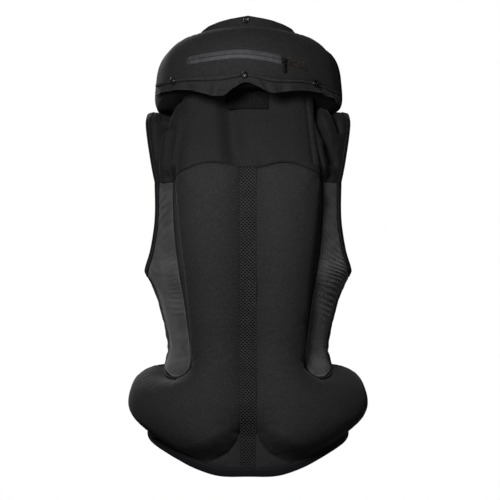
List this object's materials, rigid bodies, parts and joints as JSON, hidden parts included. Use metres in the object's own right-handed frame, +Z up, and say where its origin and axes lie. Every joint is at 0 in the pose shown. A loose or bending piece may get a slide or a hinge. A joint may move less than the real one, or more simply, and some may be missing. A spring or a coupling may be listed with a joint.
{
  "type": "inflated airbag vest",
  "caption": "Inflated airbag vest in black stretch cloth: padded back columns, hip lobes, neck roll, mesh sides, bound armholes and hem.",
  "frame": {"origin": "between the two shoulder straps, at the height where they sit on the wearer's shoulders", "axes": "+Z up along the wearer's back, +Y from the back to the chest, +X to the wearer's right"},
  "size_m": [0.3608, 0.2873, 0.7013],
  "materials": {
    "stretch_cloth": "matte black stretch cloth",
    "light_mesh": "fine see-through dark grey mesh",
    "dark_mesh": "coarse black spacer mesh",
    "binding": "blue-black folded binding",
    "hook_tape": "fuzzy black loop tape",
    "zip_tape": "grey coated zip tape",
    "stud_metal": "black enamelled metal"
  },
  "bodies": {
    "root": {"back_pad_right": "stretch_cloth", "back_pad_left": "stretch_cloth", "shoulder_strap_right": "stretch_cloth", "shoulder_strap_left": "stretch_cloth", "front_panel_right": "stretch_cloth", "front_panel_left": "stretch_cloth", "yoke": "stretch_cloth", "collar_roll": "stretch_cloth", "neck_band": "stretch_cloth", "collar_flap": "stretch_cloth", "side_mesh_right": "light_mesh", "side_mesh_left": "light_mesh", "spine_mesh": "dark_mesh", "side_piping_right": "binding", "side_piping_left": "binding", "armhole_binding_right": "binding", "armhole_binding_left": "binding", "front_zip": "binding", "hem_binding": "binding", "loop_patch": "hook_tape", "zip_garage": "hook_tape", "zip_tape": "zip_tape", "zip_slider": "stud_metal", "zip_pull": "stud_metal", "snap_left": "stud_metal", "snap_centre": "stud_metal", "snap_right": "stud_metal", "snap_neck": "stud_metal"}
  },
  "joints": []
}
